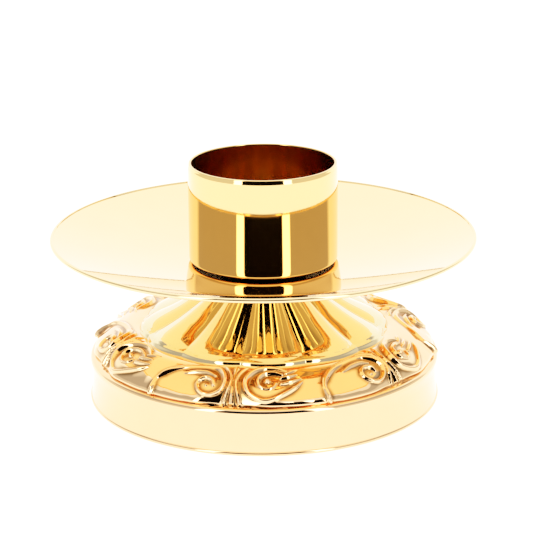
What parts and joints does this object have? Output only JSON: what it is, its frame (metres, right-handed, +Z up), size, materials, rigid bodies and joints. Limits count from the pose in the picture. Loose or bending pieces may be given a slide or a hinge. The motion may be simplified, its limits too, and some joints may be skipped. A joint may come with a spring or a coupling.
{
  "type": "pillar candle holder",
  "caption": "Low round candle holder of polished gold-coloured brass: straight cup for a pillar candle, wide dished drip pan, and a flared embossed foot with a plain skirt.",
  "frame": {"origin": "centre of the circle that the foot rests on, at the height of the table", "axes": "+Z up along the axis of the tie rod, cup and pan; every piece is round about it"},
  "size_m": [0.12, 0.12, 0.068],
  "materials": {
    "gilt_brass_base": "mirror-polished and gold-plated, embossed",
    "gilt_brass_pan": "mirror-polished and gold-plated, spun",
    "gilt_brass_cup": "mirror-polished and gold-plated, turned",
    "gilt_brass_turned": "polished and gold-plated, turned",
    "bare_brass": "as turned, unpolished",
    "zinc_steel": "bright zinc plated"
  },
  "bodies": {
    "stand": {"base_shell": "gilt_brass_base", "base_washer": "zinc_steel", "lock_washer": "zinc_steel", "hex_nut": "zinc_steel", "tie_rod": "zinc_steel", "neck_collar": "gilt_brass_turned", "drip_pan": "gilt_brass_pan", "seat_washer": "bare_brass"},
    "bush": {"cup_bush": "bare_brass"},
    "cup": {"cup_shell": "gilt_brass_cup"}
  },
  "joints": [
    {"name": "cup_rise", "type": "slide", "parent": "stand", "child": "bush", "axis": [0, 0, 1], "range_m": [0, 0.005]},
    {"name": "cup_turn", "type": "hinge", "parent": "bush", "child": "cup", "pos_m": [0, 0, 0.04], "axis": [0, 0, 1], "range_deg": [0, 1800]}
  ],
  "couplings": [
    {"joint": "cup_rise", "follows": "cup_turn", "m_per_rad": 0.00015915}
  ]
}
